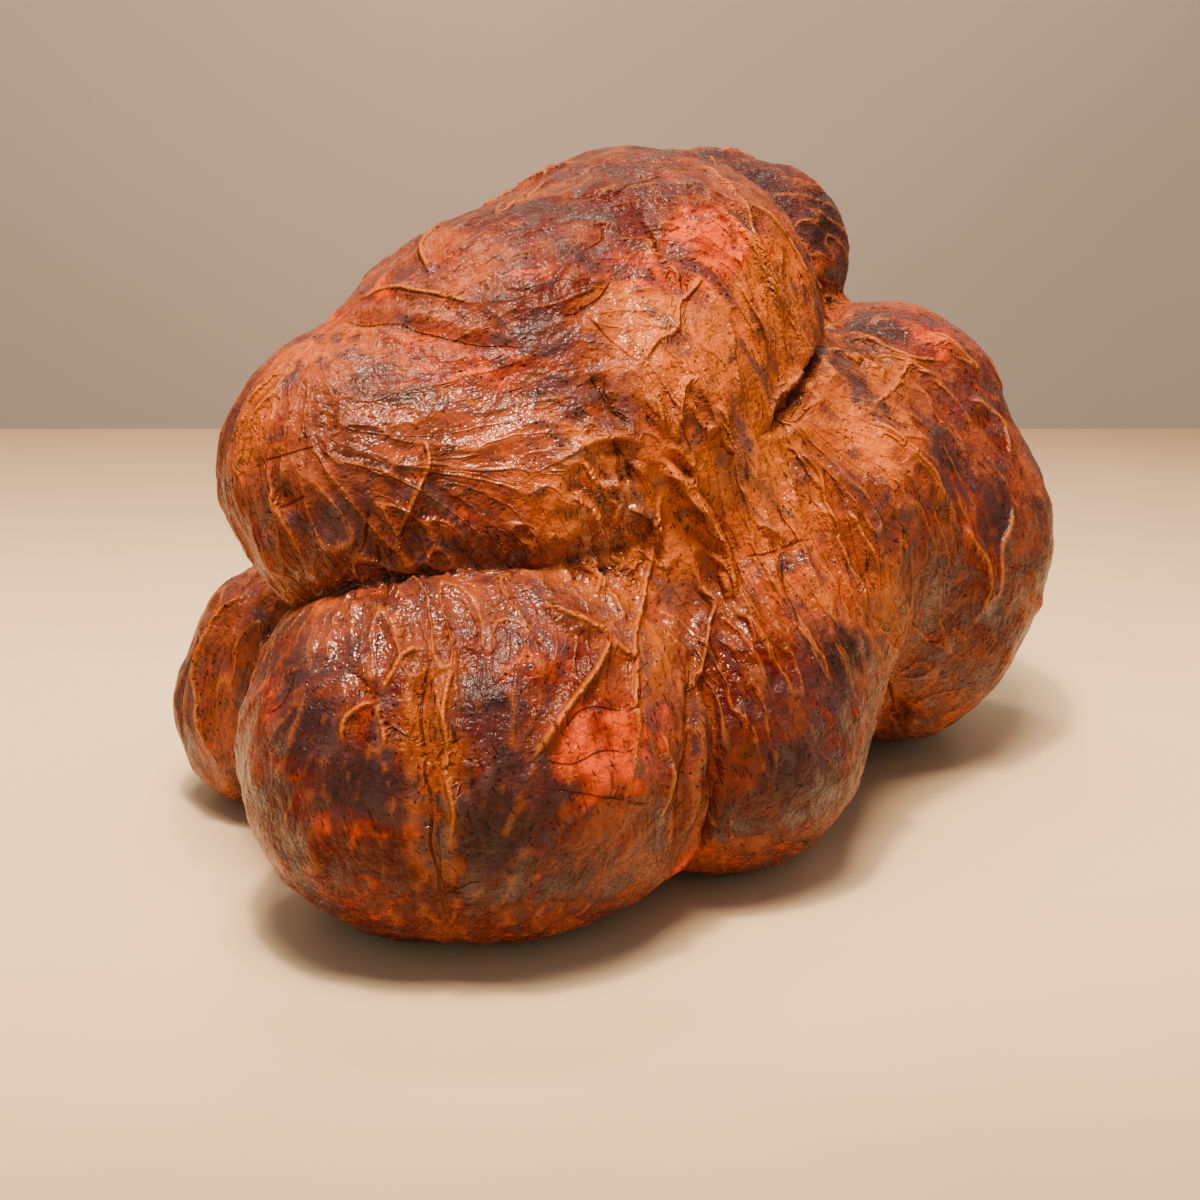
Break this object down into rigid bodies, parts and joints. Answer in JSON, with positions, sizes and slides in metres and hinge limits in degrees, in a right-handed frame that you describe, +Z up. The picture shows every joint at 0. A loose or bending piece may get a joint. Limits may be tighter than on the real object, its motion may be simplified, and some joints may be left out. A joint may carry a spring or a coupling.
{
  "type": "morcon sausage",
  "caption": "Whole morcon: a large lumpy cured sausage in a wrinkled gut casing, with fat lobes between deep folds, lying on its side.",
  "frame": {"origin": "middle of the underside of the bounding box, on the surface that the sausage lies on", "axes": "+Z up, +X along the sausage's longest extent towards its tall single lobe, +Y away from its folded front"},
  "size_m": [0.1815, 0.1709, 0.1291],
  "materials": {
    "cured_casing": "cured pork gut casing over paprika-red filling: orange to red-brown with dark purple-grey blotches, wrinkled and oily"
  },
  "bodies": {
    "root": {"morcon": "cured_casing"}
  },
  "joints": []
}
